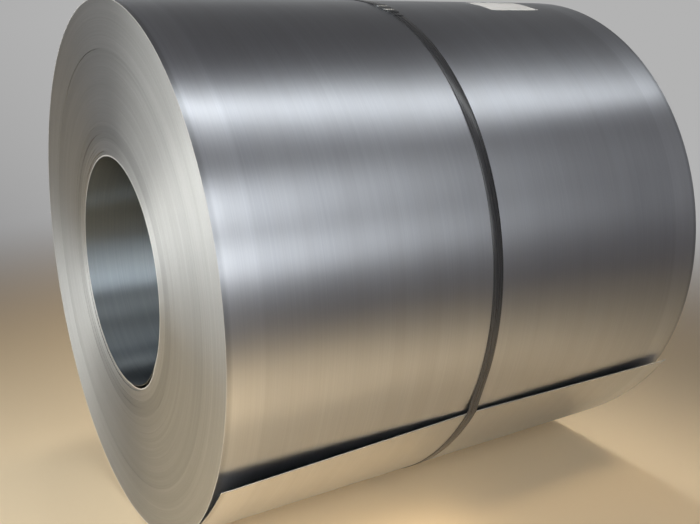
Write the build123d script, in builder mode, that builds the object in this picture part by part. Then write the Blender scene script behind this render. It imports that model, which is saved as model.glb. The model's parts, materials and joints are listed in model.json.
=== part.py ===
from build123d import *
from math import acos, cos, degrees, radians, sin
import os

# A coil of steel strip, lying on its side. The bore's axis is Y and its middle is the origin.
# Angles are in degrees from +X towards +Z, and the loose outer end of the strip is on the +X side.

# The roll
roll_diameter = 1170
bore_diameter = 508
strip_width = 1200
strip_thickness = 1.2

# The loose outer end of the strip, which leaves the roll at its root and ends in a straight edge
tail_root_angle = -52
tail_end_angle = -27.6
tail_gap_near = 22.6
tail_gap_under_strap = 5.8
tail_gap_far = 16
tail_held_width = 36
tail_root_gap = 0.2

# Steps between the laps on each end: out to each radius they lie this deep
lap_steps = [(480, 0.4), (323, 0.9), (304, 1.4), (289, 2.0), (266, 3.5)]

# The gap behind the innermost lap at the near end
inner_gap_start_angle = -82
inner_gap_deepest_angle = -57
inner_gap_end_angle = -38
inner_gap_radius = 262
inner_gap_length = 300

# The strap, which slants a little across the roll
strap_width = 25.4
strap_thickness = 1
strap_middle = -10.5
strap_tilt = -1.15
strap_clearance = 0.3
strap_end_start_angle = 69
strap_end_stop_angle = 79.5

# The seal over the strap's ends and the notches that crimp it
seal_start_angle = 71
seal_stop_angle = 77
seal_thickness = 1
seal_clearance = 0.3
crimp_angles = [72.7, 75.3]
crimp_radius = 4

# The paper label
label_width = 152
label_start_angle = 74
label_stop_angle = 84
label_from_far_end = 140
label_thickness = 0.4
label_clearance = 0.2

# Longer than any size here, for cuts that go right through
reach = 3000

# The outer lap is four tangent quarter arcs that grow by one thickness over the turn
roll_radius = roll_diameter / 2
bore_radius = bore_diameter / 2
quarter = 90
quarter_growth = strip_thickness / 4
inner_lap_radius = roll_radius - strip_thickness
crown_radius = inner_lap_radius + quarter_growth


def polar(radius, angle):
    """Point at this radius and angle round the bore."""
    return Vector(radius * cos(radians(angle)), radius * sin(radians(angle)))


# Centre of the quarter arc that carries the crown, where the seal and the label lie
crown_centre = polar(quarter_growth, tail_root_angle - quarter)


def outer_quarters(first_arc, outset):
    """The three quarter arcs that follow the first one, this far outside the roll. Returns the last."""
    arc = first_arc
    for number in range(1, 4):
        radius = inner_lap_radius + number * quarter_growth + outset
        arc = JernArc(start=arc @ 1, tangent=arc % 1, radius=radius, arc_size=quarter)
    return arc


def tail_section(gap):
    """Section of the loose end where its edge stands this far off the roll."""
    heading = polar(1, tail_root_angle + quarter)
    inner_root = polar(inner_lap_radius + tail_root_gap, tail_root_angle)
    inner_edge = polar(inner_lap_radius + gap, tail_end_angle)
    outer_root = polar(roll_radius, tail_root_angle)
    outer_edge = polar(roll_radius + gap, tail_end_angle)
    with BuildLine() as outline:
        TangentArc(inner_root, inner_edge, tangent=heading)
        Line(inner_edge, outer_edge)
        TangentArc(outer_root, outer_edge, tangent=heading)
        Line(outer_root, inner_root)
    make_face(outline.edges())


def strap_loop(outset, mode):
    """Area inside a loop round the roll and its loose end, this far outside them."""
    edge = polar(roll_radius + tail_gap_under_strap + outset, tail_end_angle)
    touching_radius = inner_lap_radius + outset
    touching_angle = tail_end_angle + degrees(acos(touching_radius / edge.length))
    with BuildLine() as outline:
        first_arc = CenterArc(
            center=(0, 0),
            radius=touching_radius,
            start_angle=touching_angle,
            arc_size=tail_root_angle + quarter - touching_angle,
        )
        last_arc = outer_quarters(first_arc, outset)
        TangentArc(last_arc @ 1, edge, tangent=last_arc % 1)
        Line(edge, first_arc @ 0)
    make_face(outline.edges(), mode=mode)


def crown_band(inner_radius, outer_radius, start_angle, stop_angle):
    """Piece of a ring on the crown, between two radii and two angles."""
    start_direction = polar(1, start_angle)
    stop_direction = polar(1, stop_angle)
    arc_size = stop_angle - start_angle
    with BuildLine() as outline:
        CenterArc(crown_centre, inner_radius, start_angle, arc_size)
        CenterArc(crown_centre, outer_radius, start_angle, arc_size)
        Line(crown_centre + start_direction * inner_radius, crown_centre + start_direction * outer_radius)
        Line(crown_centre + stop_direction * inner_radius, crown_centre + stop_direction * outer_radius)
    make_face(outline.edges())


def trim_to_strap_line(width):
    """Keeps what lies in a band of this width along the strap's slanting line."""
    with Locations(Location((0, strap_middle, 0), (strap_tilt, 0, 0))):
        Box(reach, width, reach, mode=Mode.INTERSECT)


def cut_crimps():
    """Notches in both long edges of the seal and the strap ends in it."""
    for angle in crimp_angles:
        direction = polar(1, angle)
        for side in (-1, 1):
            height = roll_radius * sin(radians(angle))
            across = strap_middle - height * sin(radians(strap_tilt)) + side * seal_outer_width / 2
            middle = Vector(direction.X * roll_radius, across, direction.Y * roll_radius)
            outwards = Vector(direction.X, 0, direction.Y)
            with Locations(Plane(origin=middle, z_dir=outwards).location):
                Cylinder(crimp_radius, reach / 10, mode=Mode.SUBTRACT)


# The coil
held_angle = (tail_root_angle + tail_end_angle) / 2
held_middle = strap_middle - roll_radius * sin(radians(held_angle)) * sin(radians(strap_tilt))

with BuildPart() as coil:
    with BuildSketch(Plane.XZ):
        with BuildLine():
            first_arc = CenterArc((0, 0), inner_lap_radius, tail_root_angle, quarter)
            last_arc = outer_quarters(first_arc, 0)
            Line(last_arc @ 1, first_arc @ 0)
        make_face()
        Circle(bore_radius, mode=Mode.SUBTRACT)
    extrude(amount=strip_width / 2, both=True)

    tail_stations = [
        (-strip_width / 2, tail_gap_near),
        (held_middle - tail_held_width / 2, tail_gap_under_strap),
        (held_middle + tail_held_width / 2, tail_gap_under_strap),
        (strip_width / 2, tail_gap_far),
    ]
    for place, gap in tail_stations:
        with BuildSketch(Plane.XZ.offset(-place)):
            tail_section(gap)
    loft(ruled=True)

    for step_radius, step_depth in lap_steps:
        for end in (-1, 1):
            with BuildSketch(Plane.XZ.offset(end * strip_width / 2)):
                Circle(step_radius)
            extrude(amount=-end * step_depth, mode=Mode.SUBTRACT)

    with BuildSketch(Plane.XZ.offset(strip_width / 2)):
        with BuildLine():
            gap_start = polar(bore_radius + strip_thickness, inner_gap_start_angle)
            gap_deepest = polar(inner_gap_radius, inner_gap_deepest_angle)
            gap_end = polar(bore_radius + strip_thickness, inner_gap_end_angle)
            CenterArc(
                center=(0, 0),
                radius=bore_radius + strip_thickness,
                start_angle=inner_gap_start_angle,
                arc_size=inner_gap_end_angle - inner_gap_start_angle,
            )
            ThreePointArc(gap_start, gap_deepest, gap_end)
        make_face()
    extrude(amount=-inner_gap_length, mode=Mode.SUBTRACT)

# The strap
strap_outer = strap_clearance + strap_thickness
seal_outer_width = strap_width + 2 * (seal_clearance + seal_thickness)

with BuildPart() as strap:
    with BuildSketch(Plane.XZ):
        strap_loop(strap_outer, Mode.ADD)
        strap_loop(strap_clearance, Mode.SUBTRACT)
        crown_band(
            crown_radius + strap_outer,
            crown_radius + strap_outer + strap_thickness,
            strap_end_start_angle,
            strap_end_stop_angle,
        )
    extrude(amount=strip_width / 2, both=True)
    trim_to_strap_line(strap_width)
    cut_crimps()

# The seal
seal_inner_radius = crown_radius + strap_outer + strap_thickness + seal_clearance

with BuildPart() as seal_room:
    with BuildSketch(Plane.XZ):
        crown_band(crown_radius, seal_inner_radius, seal_start_angle, seal_stop_angle)
    extrude(amount=strip_width / 2, both=True)
    trim_to_strap_line(strap_width + 2 * seal_clearance)

with BuildPart() as strap_seal:
    with BuildSketch(Plane.XZ):
        crown_band(
            crown_radius + strap_clearance,
            seal_inner_radius + seal_thickness,
            seal_start_angle,
            seal_stop_angle,
        )
    extrude(amount=strip_width / 2, both=True)
    trim_to_strap_line(seal_outer_width)
    add(seal_room.part, mode=Mode.SUBTRACT)
    cut_crimps()

# The label
label_middle = strip_width / 2 - label_from_far_end - label_width / 2

with BuildPart() as label:
    with BuildSketch(Plane.XZ.offset(-label_middle)):
        crown_band(
            crown_radius + label_clearance,
            crown_radius + label_clearance + label_thickness,
            label_start_angle,
            label_stop_angle,
        )
    extrude(amount=label_width / 2, both=True)

os.makedirs("parts", exist_ok=True)
coil.part.label = "coil"
export_step(coil.part, "parts/coil.step")
strap.part.label = "strap"
export_step(strap.part, "parts/strap.step")
strap_seal.part.label = "strap_seal"
export_step(strap_seal.part, "parts/strap_seal.step")
label.part.label = "label"
export_step(label.part, "parts/label.step")
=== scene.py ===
import json
import math

import bmesh
import bpy
import numpy as np
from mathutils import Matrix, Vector


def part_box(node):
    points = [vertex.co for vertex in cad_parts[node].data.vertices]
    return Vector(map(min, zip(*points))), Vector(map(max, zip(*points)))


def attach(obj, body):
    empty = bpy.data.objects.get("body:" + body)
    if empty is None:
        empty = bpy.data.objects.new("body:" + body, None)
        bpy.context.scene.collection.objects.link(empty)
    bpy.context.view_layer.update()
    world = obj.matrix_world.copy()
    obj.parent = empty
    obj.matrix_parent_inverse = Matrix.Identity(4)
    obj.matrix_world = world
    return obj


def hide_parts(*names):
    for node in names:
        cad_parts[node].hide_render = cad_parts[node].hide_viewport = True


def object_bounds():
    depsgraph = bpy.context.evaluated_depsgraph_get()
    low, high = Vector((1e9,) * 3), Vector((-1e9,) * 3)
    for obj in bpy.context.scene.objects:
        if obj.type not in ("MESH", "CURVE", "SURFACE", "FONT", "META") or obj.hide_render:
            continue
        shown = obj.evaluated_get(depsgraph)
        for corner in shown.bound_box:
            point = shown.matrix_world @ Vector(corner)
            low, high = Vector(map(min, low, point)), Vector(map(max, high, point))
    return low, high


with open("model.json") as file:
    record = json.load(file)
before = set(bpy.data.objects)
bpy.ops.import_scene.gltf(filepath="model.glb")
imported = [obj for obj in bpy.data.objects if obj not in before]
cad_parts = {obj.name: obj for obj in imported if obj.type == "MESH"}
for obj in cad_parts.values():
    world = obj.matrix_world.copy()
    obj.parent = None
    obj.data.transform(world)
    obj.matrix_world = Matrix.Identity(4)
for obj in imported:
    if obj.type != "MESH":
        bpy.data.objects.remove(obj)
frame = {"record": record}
cad_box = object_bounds()

# Sizes in metres, in the frame of the CAD part: the bore's axis is Y and its middle is the origin.
# Angles are in degrees from +X towards +Z.
MM = 0.001
BORE_RADIUS = MM * next(m["dims"]["r_mm"] for m in frame["record"]["mounts"] if m["name"] == "bore")
HALF_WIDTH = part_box("coil")[1].y
FLOOR_HEIGHT = cad_box[0].z
ROLL_RADIUS = 0.585
STRIP_THICKNESS = 0.0012

# The tail, which is the loose outer end of the strip
TAIL_ROOT_ANGLE = -52.0
TAIL_END_ANGLE = -27.6
TAIL_GAP_NEAR = 0.0226
TAIL_GAP_UNDER_STRAP = 0.0058
TAIL_GAP_FAR = 0.016
TAIL_HELD_WIDTH = 0.036

# The strip is a little thinner along its edges, so the roll drops there by this much over this width
EDGE_DROP = 0.0011
EDGE_DROP_WIDTH = 0.03

# Steps between the laps on each end: inside each radius the laps lie this deep
LAP_STEPS = [(0.480, 0.0004), (0.323, 0.0009), (0.304, 0.0014), (0.289, 0.0020), (0.266, 0.0035)]

# Open gaps between laps on the near end: outer radius, first and last angle, depth
LAP_GAPS = [
    (0.260, 96, 152, 0.0010),
    (0.266, 92, 140, 0.0020),
    (0.2725, 98, 154, 0.0010),
    (0.280, 104, 158, 0.0012),
    (0.304, 104, 136, 0.0014),
    (0.323, -52, -2, 0.0030),
    (0.480, 84, 138, 0.0016),
]
LAP_GAP_WIDTH = 0.0013

# Rings of laps on the ends: their least and greatest width, and how far one's depth shifts and swings
RING_WIDTHS = (0.0035, 0.0085)
RING_SHIFT = 0.00008
RING_SWING = 0.0001

# Laps at the rim of the roll and of the bore, in brighter steel as a painted highlight on those edges
RIM_WIDTH = 0.0024

# Dark lines between laps on the ends: a sharper one is narrower
LAP_LINE_SHARPNESS = 8.0
LAP_LINE_DARKNESS = 0.5

# The gap behind the innermost lap
INNER_GAP_START_ANGLE = -82.0
INNER_GAP_DEEPEST_ANGLE = -57.0
INNER_GAP_END_ANGLE = -38.0
INNER_GAP_RADIUS = 0.262
INNER_GAP_LENGTH = 0.3

# The strap, whose outer end lies over the other one
STRAP_WIDTH = 0.0254
STRAP_THICKNESS = 0.000998
STRAP_CORNER = 0.00025
STRAP_CLEARANCE = 0.0003
STRAP_MIDDLE = -0.0105
STRAP_TILT = 1.15
STRAP_SLOPE = math.tan(math.radians(STRAP_TILT))
STRAP_END_START_ANGLE = 69.0
STRAP_END_STOP_ANGLE = 79.5
STRAP_END_LIFT = 0.00005

# The seal over the strap's ends, and how its crimps narrow and sink it
SEAL_START_ANGLE = 71.0
SEAL_STOP_ANGLE = 77.0
SEAL_THICKNESS = 0.001
SEAL_CLEARANCE = 0.0003
SEAL_BEND = 0.0009
CRIMP_ANGLES = [72.7, 75.3]
CRIMP_SPREAD = 0.32
# Within this angle of a crimp the seal's upward faces take brighter steel, a painted glint.
CRIMP_GLINT_ANGLE = 0.3
CRIMP_PINCH = 0.20
CRIMP_DEPTH = 0.0007
CRIMP_MIDDLE_SHARE = 0.35

# The label, which ripples a little and lifts at one corner
LABEL_START_ANGLE = 74.0
LABEL_STOP_ANGLE = 84.0
LABEL_CLEARANCE = 0.0002
LABEL_THICKNESS = 0.0003
LABEL_RIPPLE = 0.00012
LABEL_RIPPLES_ALONG = 90
LABEL_RIPPLES_ROUND = 60
LABEL_LIFT = 0.0016
LABEL_LIFT_LENGTH = 0.03
LABEL_LIFT_ANGLE = 77.0

# How finely the pieces are made
COLUMNS = 288
FLANK_ROWS = 20
EDGE_ROWS = 8
HELD_ROW_SPACING = 0.006
TAIL_COLUMNS = 36
BORE_ROWS = 12
STRAP_POINTS_ON_ROLL = 260
STRAP_POINTS_ON_TAIL = 25
STRAP_POINTS_BETWEEN = 8
STRAP_END_POINTS = 16
SEAL_COLUMNS = 60
LABEL_COLUMNS = 32
LABEL_ROWS = 40

# Points nearer than this are welded, and sizes nearer than this are the same
WELD_DISTANCE = 2e-6
SAME = 1e-6

# Slots of the coil's and the seal's materials, in the order in which they are given
FLANK, ENDS, BORE, EDGE_HIGHLIGHT, GAP_SHADE = range(5)
SEAL_COATED, SEAL_GLINT = range(2)

# The backdrop's colour in front of the coil, where the camera stands, and low behind it
BACKDROP_FRONT = (0.073, 0.067, 0.073)
BACKDROP_BACK = (0.45, 0.45, 0.45)

# The direction that is behind the coil, and how nearly a direction agrees with it where the colour
# starts and ends changing
BACKDROP_BEHIND = (-0.75, 0.66, 0.0)
BACKDROP_CHANGE = (0.2, 0.9)

# The backdrop's tones behind the coil, by height from the horizon at 0 to overhead at 1
BACKDROP_TONES = [(0.0, 0.45), (0.25, 0.42), (0.45, 0.18), (0.65, 0.08), (1.0, 0.07)]

# The floor: how far it reaches, its colour, and the distances between which it fades into the backdrop
FLOOR_REACH = 300.0
FLOOR_COLOUR = (0.79, 0.65, 0.45)
FLOOR_FADE = (1.3, 3.6)

# Colours and targets of the lamps
COOL = (0.95, 0.98, 1.0)
WHITE = (1.0, 1.0, 0.97)
WARM = (1.0, 0.80, 0.55)
PALE_WARM = (1.0, 0.87, 0.70)
ROLL_FRONT = (0.55, 0.0, 0.2)
NEAR_END = (0.0, -HALF_WIDTH, 0.0)

# Lamps as name, place, target, width and height, radiance, colour and spread. The strip overhead is turned.
OVERHEAD_STRIP = ("overhead_strip", (1.5, 2.2, 4.0), (1.5, 2.201, 0.0), (0.45, 5.6), 5.2, COOL, 180)
OVERHEAD_STRIP_TURN = -10
LAMPS_SEEN_IN_GLOSS = [
    ("window_high", (4.4, 0.6, 2.95), ROLL_FRONT, (2.2, 1.5), 3.0, COOL, 100),
    ("window_low", (4.4, 0.5, 1.05), ROLL_FRONT, (2.2, 1.0), 3.1, COOL, 100),
    ("end_low", (-0.2, -4.2, 0.75), NEAR_END, (2.4, 1.0), 11.0, WHITE, 80),
    ("end_high", (-0.35, -1.8, 1.25), (0.2, -0.6, 0.3), (0.9, 0.9), 3.0, WHITE, 120),
    ("end_top", (-2.2, -2.2, 2.4), NEAR_END, (1.2, 1.2), 3.4, WHITE, 60),
    ("end_right", (0.35, -1.9, 0.95), (0.35, -0.6, 0.35), (0.5, 0.5), 10.5, WHITE, 90),
    ("end_side", (2.6, -3.4, 0.12), NEAR_END, (0.8, 1.2), 20.0, WHITE, 60),
    ("end_board", (0.8, -1.5, -0.3), NEAR_END, (0.7, 0.25), 4.5, WHITE, 80),
    ("bore_box", (3.2, -2.6, 1.35), NEAR_END, (0.9, 1.4), 18.0, COOL, 60),
]
LAMPS_ON_THE_FLOOR_AND_CROWN = [
    ("floor_pool", (-0.6, -0.2, 3.2), (1.4, -0.4, FLOOR_HEIGHT), (0.5, 0.5), 155.0, PALE_WARM, 32),
    ("pool_middle", (-0.9, -0.7, 3.2), (1.15, -0.75, FLOOR_HEIGHT), (0.3, 0.3), 540.0, PALE_WARM, 14),
    ("low_sun", (2.4, -1.9, -0.05), (0.45, -0.4, FLOOR_HEIGHT), (0.6, 0.4), 58.0, WARM, 40),
    ("floor_right", (1.3, 0.8, 2.6), (0.5, 0.45, FLOOR_HEIGHT), (0.8, 0.8), 28.0, WARM, 20),
    ("under_tail", (0.44, -0.3, -0.45), (0.44, -0.299, -0.6), (0.16, 0.7), 1.5, WARM, 140),
    ("floor_behind", (-2.0, 2.4, 3.2), (-1.2, 0.3, FLOOR_HEIGHT), (1.5, 1.5), 8.0, WARM, 55),
    ("crown_fill", (-1.2, 0.5, 3.4), (0.0, 0.1, 0.6), (1.5, 1.5), 20.0, WHITE, 30),
]

# The camera: its focal length in pixels of a picture of this width, its place, and its angles in radians
PICTURE_WIDTH = 700
FOCAL_LENGTH = 872.7
SENSOR_WIDTH = 36.0
CAMERA_PLACE = Vector((3.1531, -1.9523, 0.9017)) * ROLL_RADIUS
CAMERA_YAW = -1.0145
CAMERA_PITCH = -0.2656


def polar(radius, angle, y):
    """Points at this radius and angle round the bore, and this far along it."""
    turned = np.radians(angle)
    x, y, z = np.broadcast_arrays(radius * np.cos(turned), y, radius * np.sin(turned))
    return np.stack([x, y, z], axis=-1)


def roll_radius_at(angle):
    """Radius of the roll's outer lap: four tangent quarter arcs that grow by one thickness in a turn."""
    turn = np.radians(np.asarray(angle) - TAIL_ROOT_ANGLE)
    radius = np.full_like(turn, ROLL_RADIUS - STRIP_THICKNESS)
    for quarter in (1, 2, 3):
        past = np.clip(turn - quarter * math.pi / 2, 0, None)
        radius += STRIP_THICKNESS / 4 * np.where(past > 0, 1 - np.cos(past), 0)
    return radius


def edge_drop_at(y):
    """How far the outer lap drops towards the two edges of the strip."""
    past = np.clip((np.abs(y) - HALF_WIDTH + EDGE_DROP_WIDTH) / EDGE_DROP_WIDTH, 0, 1)
    return EDGE_DROP * past**2


def on_strap_line(points, across):
    """Moves points along the coil onto the strap's slanting line, this far across it."""
    points[:, 1] = STRAP_MIDDLE + STRAP_SLOPE * points[:, 2] + across
    return points


class MeshMaker:
    """Collects grids of points as the faces of one mesh."""

    def __init__(self):
        self.points = []
        self.faces = []
        self.slots = []

    def grid(self, points, slot=0):
        """Adds a grid of shape (rows, columns, 3)."""
        rows, columns = points.shape[:2]
        first = len(self.points)
        self.points.extend(points.reshape(-1, 3).tolist())
        for row in range(rows - 1):
            for column in range(columns - 1):
                corner = first + row * columns + column
                self.faces.append((corner, corner + 1, corner + columns + 1, corner + columns))
                self.slots.append(slot)

    def build(self, name, materials, sharp_angle=35.0):
        """Welds the grids and returns the object, with smooth shading between sharp edges."""
        mesh = bpy.data.meshes.new(name)
        mesh.from_pydata(self.points, [], self.faces)
        for material in materials:
            mesh.materials.append(material)
        mesh.polygons.foreach_set("material_index", self.slots)
        work = bmesh.new()
        work.from_mesh(mesh)
        bmesh.ops.remove_doubles(work, verts=work.verts, dist=WELD_DISTANCE)
        bmesh.ops.dissolve_degenerate(work, edges=work.edges, dist=SAME)
        bmesh.ops.recalc_face_normals(work, faces=work.faces)
        work.to_mesh(mesh)
        work.free()
        mesh.polygons.foreach_set("use_smooth", [True] * len(mesh.polygons))
        mesh.set_sharp_from_angle(angle=math.radians(sharp_angle))
        piece = bpy.data.objects.new(name, mesh)
        bpy.context.scene.collection.objects.link(piece)
        return piece


def dress(piece, node):
    """The piece rides with the coil and stands for a CAD node, which it hides."""
    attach(piece, "root")
    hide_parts(node)


# The coil

def held_places():
    """Where along the coil the strap starts and stops holding the tail down."""
    held_angle = math.radians((TAIL_ROOT_ANGLE + TAIL_END_ANGLE) / 2)
    held_y = STRAP_MIDDLE + STRAP_SLOPE * ROLL_RADIUS * math.sin(held_angle)
    return [held_y - TAIL_HELD_WIDTH / 2, held_y + TAIL_HELD_WIDTH / 2]


def flank_rows():
    """Places along the coil, closer together where the edges drop and where the strap holds the tail."""
    flat = HALF_WIDTH - EDGE_DROP_WIDTH
    edge = np.linspace(-HALF_WIDTH, -flat, EDGE_ROWS + 1)[:-1]
    plain = np.linspace(-flat, flat, FLANK_ROWS + 1)
    held = np.add.outer(held_places(), [-HELD_ROW_SPACING, 0, HELD_ROW_SPACING]).ravel()
    apart = np.abs(plain[:, None] - held).min(axis=1) > HELD_ROW_SPACING
    return np.sort(np.concatenate([edge, plain[apart], held, -edge]))[:, None]


def tail_gap_at(y):
    """How far the tail's free edge stands off the roll, along the coil."""
    places = [-HALF_WIDTH, *held_places(), HALF_WIDTH]
    gaps = [TAIL_GAP_NEAR, TAIL_GAP_UNDER_STRAP, TAIL_GAP_UNDER_STRAP, TAIL_GAP_FAR]
    return np.interp(y, places, gaps)


def tail_radius_at(angle, gap):
    """Radius of the tail's outer side, where its free edge stands this far off the roll."""
    along = (angle - TAIL_ROOT_ANGLE) / (TAIL_END_ANGLE - TAIL_ROOT_ANGLE)
    return ROLL_RADIUS + gap * along**2


def inner_gap_radius_at(angle):
    """Radius of the outer side of the gap behind the innermost lap, which is that lap's own elsewhere."""
    around = (angle + 180) % 360 - 180
    lap = BORE_RADIUS + STRIP_THICKNESS
    before = (around - INNER_GAP_START_ANGLE) / (INNER_GAP_DEEPEST_ANGLE - INNER_GAP_START_ANGLE)
    after = (INNER_GAP_END_ANGLE - around) / (INNER_GAP_END_ANGLE - INNER_GAP_DEEPEST_ANGLE)
    share = np.clip(np.minimum(before, after), 0, 1)
    return lap + (INNER_GAP_RADIUS - lap) * (1 - (1 - share) ** 2)


def ring_radii(random):
    """Radii that part the laps into rings of uneven width, with every step and gap among them."""
    lap_outside = BORE_RADIUS + STRIP_THICKNESS
    fixed = {lap_outside, lap_outside + RIM_WIDTH, ROLL_RADIUS - EDGE_DROP - RIM_WIDTH, ROLL_RADIUS}
    for radius, *_ in LAP_STEPS + LAP_GAPS:
        fixed.update((radius, radius - LAP_GAP_WIDTH))
    fixed = sorted(fixed)
    narrowest, widest = RING_WIDTHS
    radii = []
    for inner, outer in zip(fixed, fixed[1:]):
        radius = inner
        while outer - radius > 1.5 * widest:
            radii.append(radius)
            radius += random.uniform(narrowest, widest)
        radii.append(radius)
        if outer - radius > widest:
            radii.append((radius + outer) / 2)
    radii.append(ROLL_RADIUS)
    return radii


def smooth_window(angle, first, last, blend):
    """1 between two angles, falling smoothly to 0 at both."""
    rise = np.clip((angle - first) / blend, 0, 1)
    fall = np.clip((last - angle) / blend, 0, 1)
    rise = rise * rise * (3 - 2 * rise)
    fall = fall * fall * (3 - 2 * fall)
    return rise * fall


def ring_depth(inner, outer, angle, random_row, with_gaps):
    """How deep the ring between two radii lies, all the way round."""
    middle = (inner + outer) / 2
    depth = max([step for radius, step in LAP_STEPS if middle < radius], default=0.0)
    shift, swing, phase = random_row
    wave = 0.5 + 0.5 * np.cos(np.radians(angle) + phase * 2 * math.pi)
    depth = depth + RING_SHIFT * shift + RING_SWING * swing * wave
    if with_gaps:
        for radius, first, last, gap_depth in LAP_GAPS:
            if abs(outer - radius) < SAME and outer - inner < 1.5 * LAP_GAP_WIDTH:
                around = (angle - first) % 360 + first
                depth = depth + gap_depth * smooth_window(around, first, last, (last - first) / 3)
    return depth


def add_end(maker, side, angles, seed):
    """One end of the coil: rings of laps, each at its own depth."""
    random = np.random.default_rng(seed)
    radii = ring_radii(random)
    near = side < 0
    lap_outside = inner_gap_radius_at(angles) if near else np.full_like(angles, radii[0])
    rim_outside = lap_outside + RIM_WIDTH
    edges = list(zip(radii, radii[1:]))
    depths = [ring_depth(inner, outer, angles, random.random(3), near) for inner, outer in edges]
    depths[-1] = np.zeros_like(angles)
    # Where the rim of the gap takes in whole rings, they lie level with the next ring
    for number in range(len(edges) - 2, 0, -1):
        taken_in = edges[number][1] <= rim_outside
        depths[number] = np.where(taken_in, depths[number + 1], depths[number])
    rows = []
    for (inner, outer), depth in zip(edges, depths):
        inner_radius = np.maximum(inner, rim_outside)
        outer_radius = np.maximum(outer, rim_outside)
        if inner == radii[0]:
            inner_radius = lap_outside
        if outer == ROLL_RADIUS:
            outer_radius = roll_radius_at(angles) - EDGE_DROP
        y = side * (HALF_WIDTH - depth)
        rows += [polar(inner_radius, angles, y), polar(outer_radius, angles, y)]
    # The outer lap starts at the tail's root, one thickness further in than where it ends
    rows.insert(-1, polar(ROLL_RADIUS - STRIP_THICKNESS - EDGE_DROP, angles, rows[-1][:, 1]))
    # The rims by the bore and at the roll's outside take the brighter steel, a painted highlight.
    maker.grid(np.array(rows[:2]), EDGE_HIGHLIGHT)
    maker.grid(np.array(rows[1:-2]), ENDS)
    maker.grid(np.array(rows[-3:]), EDGE_HIGHLIGHT)
    add_innermost_lap(maker, side, angles, rows[0][:, 1])


def add_innermost_lap(maker, side, angles, ring_y):
    """The innermost lap's edge, and at the near end the gap between it and the first ring."""
    lap_y = np.full_like(angles, side * (HALF_WIDTH - LAP_STEPS[-1][1]))
    outside = BORE_RADIUS + STRIP_THICKNESS
    # The innermost lap's edge takes the bore's darker steel, painted shade where it lies in shadow.
    maker.grid(np.array([polar(BORE_RADIUS, angles, lap_y), polar(outside, angles, lap_y)]), BORE)
    maker.grid(np.array([polar(outside, angles, lap_y), polar(outside, angles, ring_y)]), ENDS)
    if side > 0:
        return
    gap_outside = inner_gap_radius_at(angles)
    deep = side * (HALF_WIDTH - INNER_GAP_LENGTH)
    is_open = gap_outside > outside + SAME
    for first in np.flatnonzero(is_open[:-1] | is_open[1:]):
        column = slice(first, first + 2)
        rows = [
            polar(outside, angles[column], ring_y[column]),
            polar(outside, angles[column], deep),
            polar(gap_outside[column], angles[column], deep),
            polar(gap_outside[column], angles[column], ring_y[column]),
        ]
        # The gap's walls take near-black steel, painted shade in the deep gap.
        maker.grid(np.array(rows), GAP_SHADE)


def add_tail(maker):
    """The loose end: its two sides, its free edge and its two short edges."""
    angles = np.linspace(TAIL_ROOT_ANGLE, TAIL_END_ANGLE, TAIL_COLUMNS + 1)
    rows = flank_rows()
    outside = tail_radius_at(angles, tail_gap_at(rows)) - edge_drop_at(rows)
    top = polar(outside, angles, rows)
    under = polar(outside - STRIP_THICKNESS, angles, rows)
    maker.grid(top, FLANK)
    maker.grid(under, FLANK)
    # The tail's free edge takes the brighter steel, a painted highlight.
    maker.grid(np.array([top[:, -1], under[:, -1]]), EDGE_HIGHLIGHT)
    for end in (0, -1):
        maker.grid(np.array([top[end], under[end]]), ENDS)


def make_coil(materials):
    """The whole coil, turned finely, with its laps showing on its ends."""
    maker = MeshMaker()
    angles = TAIL_ROOT_ANGLE + np.linspace(0, 360, COLUMNS + 1)
    rows = flank_rows()
    maker.grid(polar(roll_radius_at(angles) - edge_drop_at(rows), angles, rows), FLANK)
    bore_end = HALF_WIDTH - LAP_STEPS[-1][1]
    rows = np.linspace(-bore_end, bore_end, BORE_ROWS + 1)[:, None]
    maker.grid(polar(BORE_RADIUS, angles, rows), BORE)
    add_end(maker, -1, angles, seed=11)
    add_end(maker, 1, angles, seed=12)
    add_tail(maker)
    return maker.build("coil_strip", materials)


# The strap, its seal and the label

def strap_path(outset):
    """Points and outward directions of the closed loop that the strap follows, this far off the roll."""
    edge_radius = ROLL_RADIUS + TAIL_GAP_UNDER_STRAP + outset
    touching_radius = roll_radius_at(TAIL_END_ANGLE) + outset
    touching_angle = TAIL_END_ANGLE + math.degrees(math.acos(touching_radius / edge_radius))
    on_roll = np.linspace(touching_angle, TAIL_ROOT_ANGLE + 360, STRAP_POINTS_ON_ROLL)
    on_tail = np.linspace(TAIL_ROOT_ANGLE, TAIL_END_ANGLE, STRAP_POINTS_ON_TAIL)[1:]
    radii = [roll_radius_at(on_roll), tail_radius_at(on_tail, TAIL_GAP_UNDER_STRAP)]
    points = polar(np.concatenate(radii) + outset, np.concatenate([on_roll, on_tail]), 0.0)
    share = np.linspace(0, 1, STRAP_POINTS_BETWEEN)[1:-1, None]
    points = np.concatenate([points, points[-1] * (1 - share) + points[0] * share])
    tangent = np.roll(points, -1, axis=0) - np.roll(points, 1, axis=0)
    outward = np.stack([tangent[:, 2], np.zeros(len(points)), -tangent[:, 0]], axis=-1)
    outward /= np.linalg.norm(outward, axis=1)[:, None]
    return points, outward


def rounded_section(width, height, corner):
    """Outline of a flat bar's section as (across, outward) pairs."""
    side = width / 2 - corner
    pairs = []
    for across, outward, start in [
        (side, corner, -90),
        (side, height - corner, 0),
        (-side, height - corner, 90),
        (-side, corner, 180),
    ]:
        for angle in np.radians([start, start + 45, start + 90]):
            pairs.append((across + corner * math.cos(angle), outward + corner * math.sin(angle)))
    return pairs


def sweep_bar(maker, points, outward, section, closed):
    """A bar of this section along a path in the strap's slanting plane."""
    loops = []
    for across, height in section + section[:1]:
        line = on_strap_line(points + outward * height, across)
        if closed:
            line = np.concatenate([line, line[:1]])
        loops.append(line)
    loops = np.array(loops)
    maker.grid(loops)
    if not closed:
        for end in (0, -1):
            ring = loops[:-1, end]
            half = len(ring) // 2
            maker.grid(np.array([ring[:half], ring[half:][::-1]]))


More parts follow.
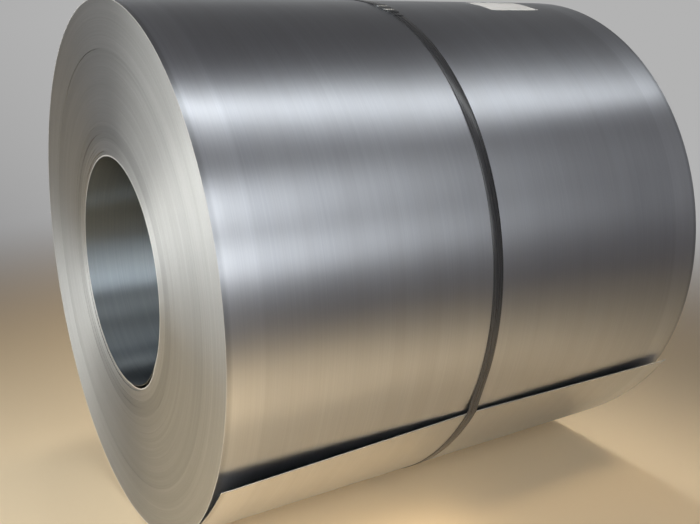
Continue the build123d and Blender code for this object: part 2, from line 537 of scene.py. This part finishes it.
def make_strap(material):
    """The strap, with its outer end lying over the other under the seal."""
    maker = MeshMaker()
    section = rounded_section(STRAP_WIDTH, STRAP_THICKNESS, STRAP_CORNER)
    points, outward = strap_path(STRAP_CLEARANCE)
    sweep_bar(maker, points, outward, section, closed=True)
    angles = np.linspace(STRAP_END_START_ANGLE, STRAP_END_STOP_ANGLE, STRAP_END_POINTS)
    radii = roll_radius_at(angles) + STRAP_CLEARANCE + STRAP_THICKNESS + STRAP_END_LIFT
    sweep_bar(maker, polar(radii, angles, 0.0), polar(1.0, angles, 0.0), section, closed=False)
    return maker.build("steel_strap", [material])


def seal_section():
    """The seal's outside and inside as (across, height) pairs, from one foot over the top to the other."""
    side = STRAP_WIDTH / 2 + SEAL_CLEARANCE + SEAL_THICKNESS
    top = STRAP_CLEARANCE + 2 * STRAP_THICKNESS + SEAL_CLEARANCE + SEAL_THICKNESS
    corner = 0.3 * SEAL_BEND
    half = [
        (0.6 * side, top),
        (side - SEAL_BEND, top),
        (side - corner, top - corner),
        (side, top - SEAL_BEND),
        (side, STRAP_CLEARANCE),
    ]
    outside = [(-across, height) for across, height in half[::-1]] + [(0, top)] + half
    reach = side - SEAL_THICKNESS
    ceiling = top - SEAL_THICKNESS
    inside = [(max(-reach, min(reach, across)), min(ceiling, height)) for across, height in outside]
    return outside, inside


def make_seal(materials):
    """A folded sleeve round the strap's ends, pinched in at its crimps."""
    maker = MeshMaker()
    angles = np.linspace(SEAL_START_ANGLE, SEAL_STOP_ANGLE, SEAL_COLUMNS + 1)
    crimp = sum(np.exp(-((angles - place) / CRIMP_SPREAD) ** 2) for place in CRIMP_ANGLES)
    outside, inside = seal_section()
    side, foot = outside[-1]
    loops = []
    for across, height in outside + inside[::-1] + outside[:1]:
        edge = (abs(across) / side) ** 4
        sinking = CRIMP_MIDDLE_SHARE + (1 - CRIMP_MIDDLE_SHARE) * edge
        lowered = height - CRIMP_DEPTH * crimp * sinking * (height > foot)
        squeezed = across * (1 - CRIMP_PINCH * crimp * edge)
        loops.append(on_strap_line(polar(roll_radius_at(angles) + lowered, angles, 0.0), squeezed))
    loops = np.array(loops)
    maker.grid(loops, SEAL_COATED)
    count = len(outside)
    for end in (0, -1):
        maker.grid(np.array([loops[:count, end], loops[count:-1, end][::-1]]), SEAL_COATED)
    seal = maker.build("crimped_seal", materials, sharp_angle=60.0)
    # Upward faces at the crimps take brighter steel as painted glints.
    for face in seal.data.polygons:
        angle = math.degrees(math.atan2(face.center.z, face.center.x))
        from_crimp = min(abs(angle - place) for place in CRIMP_ANGLES)
        looks_up = face.normal.z > 0.5
        if looks_up and from_crimp < CRIMP_GLINT_ANGLE:
            face.material_index = SEAL_GLINT
    return seal


def make_label(material):
    """A sheet of paper that follows the crown, with one corner lifting a little."""
    low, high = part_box("label")
    maker = MeshMaker()
    angles = np.linspace(LABEL_START_ANGLE, LABEL_STOP_ANGLE, LABEL_COLUMNS + 1)
    rows = np.linspace(low.y, high.y, LABEL_ROWS + 1)[:, None]
    lift_along = np.clip((rows - high.y + LABEL_LIFT_LENGTH) / LABEL_LIFT_LENGTH, 0, 1)
    lift_round = np.clip((LABEL_LIFT_ANGLE - angles) / (LABEL_LIFT_ANGLE - LABEL_START_ANGLE), 0, 1)
    lift = LABEL_LIFT * lift_along**2 * lift_round**2
    ripple = LABEL_RIPPLE * np.sin(rows * LABEL_RIPPLES_ALONG)
    ripple = ripple * np.sin(np.radians(angles) * LABEL_RIPPLES_ROUND)
    radius = roll_radius_at(angles) + LABEL_CLEARANCE + lift + np.abs(ripple)
    top = polar(radius + LABEL_THICKNESS, angles, rows)
    under = polar(radius, angles, rows)
    maker.grid(top)
    maker.grid(under)
    for end in (0, -1):
        maker.grid(np.array([top[end], under[end]]))
        maker.grid(np.array([top[:, end], under[:, end]]))
    return maker.build("paper_label", [material], sharp_angle=60.0)


# Parts of materials

def new_material(name):
    """A material with its nodes, and its main shader."""
    material = bpy.data.materials.new(name)
    material.use_nodes = True
    tree = material.node_tree
    return material, tree, tree.nodes["Principled BSDF"]


def feed(tree, socket, value):
    """Links an output to a socket, or sets the socket to a number, a vector or a colour."""
    if isinstance(value, bpy.types.NodeSocket):
        tree.links.new(value, socket)
    elif isinstance(value, tuple) and len(value) < len(socket.default_value):
        socket.default_value = (*value, 1.0)
    else:
        socket.default_value = value


def set_inputs(tree, node, values):
    """Feeds the inputs of a node that these names give."""
    for name, value in values.items():
        feed(tree, node.inputs[name], value)


def math_node(tree, operation, *values):
    """The number that a math node makes of these."""
    node = tree.nodes.new("ShaderNodeMath")
    node.operation = operation
    for socket, value in zip(node.inputs, values):
        feed(tree, socket, value)
    return node.outputs[0]


def vector_math(tree, operation, *values):
    """The vector, length or product that a vector math node makes of these."""
    node = tree.nodes.new("ShaderNodeVectorMath")
    node.operation = operation
    for socket, value in zip(node.inputs, values):
        feed(tree, socket, value)
    return node.outputs["Value" if operation in ("LENGTH", "DOT_PRODUCT") else "Vector"]


def parts_of(tree, vector):
    """The X, Y and Z of a vector, by name."""
    node = tree.nodes.new("ShaderNodeSeparateXYZ")
    tree.links.new(vector, node.inputs[0])
    return node.outputs


def noise(tree, point, scale, detail=3.0, roughness=0.5):
    """A noise value from 0 to 1. The scale is one number, or one for each axis."""
    if isinstance(scale, tuple):
        point, scale = vector_math(tree, "MULTIPLY", point, scale), 1.0
    node = tree.nodes.new("ShaderNodeTexNoise")
    set_inputs(tree, node, {"Vector": point, "Scale": scale, "Detail": detail, "Roughness": roughness})
    return node.outputs["Fac"]


def mapped(tree, value, low, high, start=0.0, stop=1.0, smooth=False):
    """Maps a value from the range between start and stop to the one between low and high."""
    node = tree.nodes.new("ShaderNodeMapRange")
    if smooth:
        node.interpolation_type = "SMOOTHSTEP"
    limits = {"From Min": start, "From Max": stop, "To Min": low, "To Max": high}
    set_inputs(tree, node, {"Value": value, **limits})
    return node.outputs["Result"]


def mixed(tree, share, first, second, blend="MIX"):
    """A mix of two colours or colour sockets."""
    node = tree.nodes.new("ShaderNodeMix")
    node.data_type = "RGBA"
    node.blend_type = blend
    for socket, value in ((node.inputs["Factor"], share), (node.inputs[6], first), (node.inputs[7], second)):
        feed(tree, socket, value)
    return node.outputs[2]


def tone_by(tree, value, stops, interpolation="LINEAR"):
    """A grey that follows a value, from (value, tone) pairs."""
    ramp = tree.nodes.new("ShaderNodeValToRGB")
    ramp.color_ramp.interpolation = interpolation
    elements = ramp.color_ramp.elements
    while len(elements) < len(stops):
        elements.new(0.5)
    low, high = stops[0][0], stops[-1][0]
    for element, (place, tone) in zip(elements, stops):
        element.position = (place - low) / (high - low)
        element.color = (tone, tone, tone, 1.0)
    tree.links.new(mapped(tree, value, 0.0, 1.0, low, high), ramp.inputs["Fac"])
    return ramp.outputs["Color"]


def bump(tree, shader, height, strength, distance):
    """Joins a height to the shader as a bump, on top of any bump that is there."""
    node = tree.nodes.new("ShaderNodeBump")
    set_inputs(tree, node, {"Height": height, "Strength": strength, "Distance": distance})
    for link in shader.inputs["Normal"].links:
        tree.links.new(link.from_socket, node.inputs["Normal"])
    tree.links.new(node.outputs["Normal"], shader.inputs["Normal"])


def grain_round(tree, shader, amount):
    """Grain that runs round the roll, so that highlights spread across it."""
    tangent = tree.nodes.new("ShaderNodeTangent")
    tangent.direction_type = "RADIAL"
    tangent.axis = "Y"
    tree.links.new(tangent.outputs[0], shader.inputs["Tangent"])
    set_inputs(tree, shader, {"Anisotropic": amount, "Anisotropic Rotation": 0.25})


def object_point(tree):
    """The point on the object, in metres."""
    return tree.nodes.new("ShaderNodeTexCoord").outputs["Object"]


def lap_lines(tree, radius, direction):
    """1 on the lines between laps and 0 between them, along the spiral in which the strip is wound."""
    parts = parts_of(tree, direction)
    turn = math_node(tree, "DIVIDE", math_node(tree, "ARCTAN2", parts["Z"], parts["X"]), 2 * math.pi)
    laps = math_node(tree, "SUBTRACT", math_node(tree, "DIVIDE", radius, STRIP_THICKNESS), turn)
    across = math_node(tree, "SUBTRACT", math_node(tree, "FRACT", laps), 0.5)
    off_middle = math_node(tree, "MULTIPLY", math_node(tree, "ABSOLUTE", across), 2.0)
    return math_node(tree, "POWER", off_middle, LAP_LINE_SHARPNESS)


# Materials

def flank_material():
    """Cold rolled strip: smooth, with fine grain along its length, a painted highlight along a margin near
    each edge and painted shade at the very rim.
    """
    material, tree, shader = new_material("cold_rolled_steel")
    dark, pale, band = (0.57, 0.59, 0.63), (0.64, 0.66, 0.69), (0.54, 0.55, 0.57)
    # Tone along the coil: the paler margins near the edges are a painted highlight, and the darker last few
    # millimetres at each rim are painted shade.
    margin_highlight_and_rim_shade = [(0.0, 0.90), (0.523, 0.90), (0.531, 0.99), (0.588, 0.99), (0.594, 0.78), (0.6, 0.78)]
    point = object_point(tree)
    grain = noise(tree, point, (2.0, 420.0, 2.0), detail=4.0, roughness=0.6)
    clouds = noise(tree, point, (3.0, 5.0, 3.0))
    bands = noise(tree, point, (1.0, 24.0, 1.0))
    waves = noise(tree, point, (2.5, 6.0, 2.5), detail=2.0, roughness=0.4)
    from_middle = math_node(tree, "ABSOLUTE", parts_of(tree, point)["Y"])
    tone = mixed(tree, mapped(tree, grain, 0.0, 1.0, start=0.3, stop=0.7), dark, pale)
    tone = mixed(tree, mapped(tree, bands, 0.0, 0.5, start=0.35, stop=0.75), tone, band)
    tone = mixed(tree, 1.0, tone, tone_by(tree, from_middle, margin_highlight_and_rim_shade), "MULTIPLY")
    rough = math_node(tree, "ADD", mapped(tree, clouds, -0.03, 0.04), mapped(tree, grain, 0.32, 0.40))
    set_inputs(tree, shader, {"Base Color": tone, "Metallic": 1.0, "Roughness": rough})
    grain_round(tree, shader, 0.6)
    bump(tree, shader, waves, strength=1.0, distance=0.0016)
    bump(tree, shader, grain, strength=0.12, distance=0.0002)
    return material


def end_material():
    """Sheared edges of hundreds of laps, side by side."""
    material, tree, shader = new_material("strip_edges")
    dark, pale, dull = (0.455, 0.46, 0.45), (0.575, 0.58, 0.57), (0.415, 0.415, 0.405)
    between_laps = (0.10, 0.10, 0.095)
    # Tones by radius: paler near the bore and darker from 0.2895 to 0.322; the dip just inside the step at
    # 0.48 is painted shade of that step.
    rings = [(0.254, 0.95), (0.2885, 0.95), (0.2895, 0.78), (0.322, 0.78), (0.324, 0.86)]
    rings += [(0.44, 0.86), (0.479, 0.80), (0.481, 0.90), (0.585, 0.92)]
    scale_round, scale_outward = 0.6, 420.0
    flat = vector_math(tree, "MULTIPLY", object_point(tree), (1, 0, 1))
    radius = vector_math(tree, "LENGTH", flat)
    direction = vector_math(tree, "NORMALIZE", flat)
    parts = parts_of(tree, direction)
    laps = tree.nodes.new("ShaderNodeCombineXYZ")
    set_inputs(tree, laps, {
        "X": math_node(tree, "MULTIPLY", parts["X"], scale_round),
        "Y": math_node(tree, "MULTIPLY", parts["Z"], scale_round),
        "Z": math_node(tree, "MULTIPLY", radius, scale_outward),
    })
    fine = noise(tree, laps.outputs[0], 1.0, roughness=0.7)
    wide = noise(tree, laps.outputs[0], (1.5, 1.5, 0.12), roughness=0.55)
    lines = lap_lines(tree, radius, direction)
    tone = mixed(tree, mapped(tree, fine, 0.0, 1.0, start=0.3, stop=0.7), dark, pale)
    tone = mixed(tree, mapped(tree, wide, 0.0, 0.45, start=0.35, stop=0.7), tone, dull)
    tone = mixed(tree, 1.0, tone, tone_by(tree, radius, rings), "MULTIPLY")
    tone = mixed(tree, math_node(tree, "MULTIPLY", lines, LAP_LINE_DARKNESS), tone, between_laps)
    rough = mapped(tree, fine, 0.46, 0.58)
    set_inputs(tree, shader, {"Base Color": tone, "Metallic": 0.9, "Roughness": rough})
    grain_round(tree, shader, 0.85)
    bump(tree, shader, fine, strength=0.12, distance=0.0006)
    return material


def bore_material(name, dark, pale):
    """Darker steel with grain round the roll, for the inside of the innermost lap; given near-black colours
    it is the painted shade in the gap behind that lap.
    """
    material, tree, shader = new_material(name)
    grain = noise(tree, object_point(tree), (3.0, 300.0, 3.0), detail=4.0, roughness=0.6)
    tone = mixed(tree, mapped(tree, grain, 0.0, 1.0, start=0.3, stop=0.7), dark, pale)
    rough = mapped(tree, grain, 0.43, 0.49)
    set_inputs(tree, shader, {"Base Color": tone, "Metallic": 1.0, "Roughness": rough})
    grain_round(tree, shader, 1.0)
    bump(tree, shader, grain, strength=0.12, distance=0.0002)
    return material


def edge_highlight_material(name):
    """Brighter steel: a painted highlight on the rims of the ends and the tail's free edge, and painted
    glints at the seal's crimps.
    """
    material, tree, shader = new_material(name)
    tone = mixed(tree, noise(tree, object_point(tree), 220.0), (0.62, 0.61, 0.57), (0.80, 0.79, 0.76))
    set_inputs(tree, shader, {"Base Color": tone, "Metallic": 0.6, "Roughness": 0.45})
    return material


def strap_material():
    """Dark paint, streaked along the strap and scuffed."""
    material, tree, shader = new_material("strap_paint")
    dark, pale, scuffed = (0.021, 0.023, 0.027), (0.040, 0.041, 0.043), (0.055, 0.05, 0.045)
    point = object_point(tree)
    streaks = noise(tree, point, (8.0, 500.0, 8.0), roughness=0.6)
    scuffs = noise(tree, point, 60.0, detail=4.0, roughness=0.6)
    tone = mixed(tree, mapped(tree, streaks, 0.0, 1.0, start=0.35, stop=0.75), dark, pale)
    tone = mixed(tree, mapped(tree, scuffs, 0.0, 0.5, start=0.6, stop=0.75), tone, scuffed)
    rough = mapped(tree, streaks, 0.22, 0.34)
    set_inputs(tree, shader, {"Base Color": tone, "Metallic": 0.0, "Roughness": rough})
    set_inputs(tree, shader, {"Specular IOR Level": 0.8})
    bump(tree, shader, streaks, strength=0.12, distance=0.0003)
    return material


def seal_material():
    """Thin dark coating over steel, worn in spots."""
    material, tree, shader = new_material("seal_steel")
    wear = noise(tree, object_point(tree), 240.0, roughness=0.6)
    coated, worn = (0.09, 0.095, 0.10), (0.24, 0.25, 0.26)
    tone = mixed(tree, mapped(tree, wear, 0.0, 1.0, start=0.45, stop=0.7), coated, worn)
    rough = mapped(tree, wear, 0.25, 0.45)
    set_inputs(tree, shader, {"Base Color": tone, "Metallic": 0.8, "Roughness": rough})
    bump(tree, shader, wear, strength=0.15, distance=0.0003)
    return material


def paper_material():
    """White label paper, left blank."""
    material, tree, shader = new_material("label_paper")
    fibre = noise(tree, object_point(tree), 900.0, roughness=0.6)
    tone = mixed(tree, fibre, (0.80, 0.80, 0.78), (0.88, 0.88, 0.87))
    set_inputs(tree, shader, {"Base Color": tone, "Roughness": 0.55})
    bump(tree, shader, fibre, strength=0.1, distance=0.0002)
    return material


def backdrop_tone(tree, direction, back):
    """The backdrop's colour by direction on the level: this one behind the coil, its own in front of it."""
    behind = vector_math(tree, "DOT_PRODUCT", direction, BACKDROP_BEHIND)
    return mixed(tree, mapped(tree, behind, 0.0, 1.0, *BACKDROP_CHANGE), BACKDROP_FRONT, back)


def floor_material():
    """Plain pale floor, a little warm, that runs into the backdrop far away."""
    material, tree, shader = new_material("pale_floor")
    set_inputs(tree, shader, {"Base Color": FLOOR_COLOUR, "Roughness": 0.8, "Specular IOR Level": 0.2})
    point = object_point(tree)
    glow = tree.nodes.new("ShaderNodeEmission")
    backdrop = backdrop_tone(tree, vector_math(tree, "NORMALIZE", point), BACKDROP_BACK)
    tree.links.new(backdrop, glow.inputs["Color"])
    share = mapped(tree, vector_math(tree, "LENGTH", point), 0.0, 1.0, *FLOOR_FADE, smooth=True)
    blend = tree.nodes.new("ShaderNodeMixShader")
    for socket, output in zip(blend.inputs, (share, shader.outputs[0], glow.outputs[0])):
        tree.links.new(output, socket)
    tree.links.new(blend.outputs[0], tree.nodes["Material Output"].inputs["Surface"])
    return material


# The floor, the lights and the camera

def make_floor():
    """A wide level floor under the coil."""
    mesh = bpy.data.meshes.new("floor")
    corners = [(-1, -1), (1, -1), (1, 1), (-1, 1)]
    points = [(x * FLOOR_REACH, y * FLOOR_REACH, FLOOR_HEIGHT) for x, y in corners]
    mesh.from_pydata(points, [], [(0, 1, 2, 3)])
    mesh.materials.append(floor_material())
    floor = bpy.data.objects.new("floor", mesh)
    bpy.context.scene.collection.objects.link(floor)


def make_world():
    """A horizon that darkens upwards, paler behind the coil than in front of it."""
    world = bpy.data.worlds.new("studio")
    bpy.context.scene.world = world
    world.use_nodes = True
    tree = world.node_tree
    direction = tree.nodes.new("ShaderNodeTexCoord").outputs["Generated"]
    back = tone_by(tree, parts_of(tree, direction)["Z"], BACKDROP_TONES, "EASE")
    tree.links.new(backdrop_tone(tree, direction, back), tree.nodes["Background"].inputs["Color"])


def add_softbox(name, place, target, size, radiance, colour, spread, seen_in_gloss=True):
    """A rectangular soft light. Radiance is how bright its face is, 1 being white."""
    width, height = size
    light = bpy.data.lights.new(name, "AREA")
    light.shape = "RECTANGLE"
    light.size = width
    light.size_y = height
    light.spread = math.radians(spread)
    half_spread = light.spread / 2
    light.energy = radiance * width * height * math.pi * (1 - half_spread / math.tan(half_spread))
    light.color = colour
    lamp = bpy.data.objects.new(name, light)
    bpy.context.scene.collection.objects.link(lamp)
    lamp.location = place
    lamp.rotation_euler = (Vector(target) - Vector(place)).to_track_quat("-Z", "Y").to_euler()
    lamp.visible_camera = False
    lamp.visible_glossy = seen_in_gloss
    return lamp


def make_lights():
    """A strip overhead, boxes that the metal reflects, and boxes that light the floor and the crown alone."""
    strip = add_softbox(*OVERHEAD_STRIP)
    strip.rotation_euler.rotate_axis("Z", math.radians(OVERHEAD_STRIP_TURN))
    strip.visible_diffuse = False
    for lamp in LAMPS_SEEN_IN_GLOSS:
        add_softbox(*lamp)
    for lamp in LAMPS_ON_THE_FLOOR_AND_CROWN:
        add_softbox(*lamp, seen_in_gloss=False)


def make_camera():
    """The photograph's point of view."""
    camera_data = bpy.data.cameras.new("camera")
    camera_data.sensor_fit = "HORIZONTAL"
    camera_data.sensor_width = SENSOR_WIDTH
    camera_data.lens = FOCAL_LENGTH / PICTURE_WIDTH * SENSOR_WIDTH
    camera = bpy.data.objects.new("camera", camera_data)
    bpy.context.scene.collection.objects.link(camera)
    camera.location = CAMERA_PLACE
    level = math.cos(CAMERA_PITCH)
    forward = Vector((math.sin(CAMERA_YAW) * level, math.cos(CAMERA_YAW) * level, math.sin(CAMERA_PITCH)))
    camera.rotation_euler = forward.to_track_quat("-Z", "Y").to_euler()
    bpy.context.scene.camera = camera


coil_materials = [
    flank_material(),
    end_material(),
    bore_material("bore_steel", dark=(0.265, 0.30, 0.325), pale=(0.31, 0.345, 0.37)),
    edge_highlight_material("edge_highlight"),
    # Near-black steel: painted shade in the gap behind the innermost lap.
    bore_material("gap_shade", dark=(0.07, 0.08, 0.08), pale=(0.10, 0.11, 0.11)),
]
dress(make_coil(coil_materials), "coil")
dress(make_strap(strap_material()), "strap")
dress(make_seal([seal_material(), edge_highlight_material("crimp_glint")]), "strap_seal")
dress(make_label(paper_material()), "label")

make_floor()
make_world()
make_lights()
make_camera()
bpy.context.scene.view_settings.view_transform = "Standard"
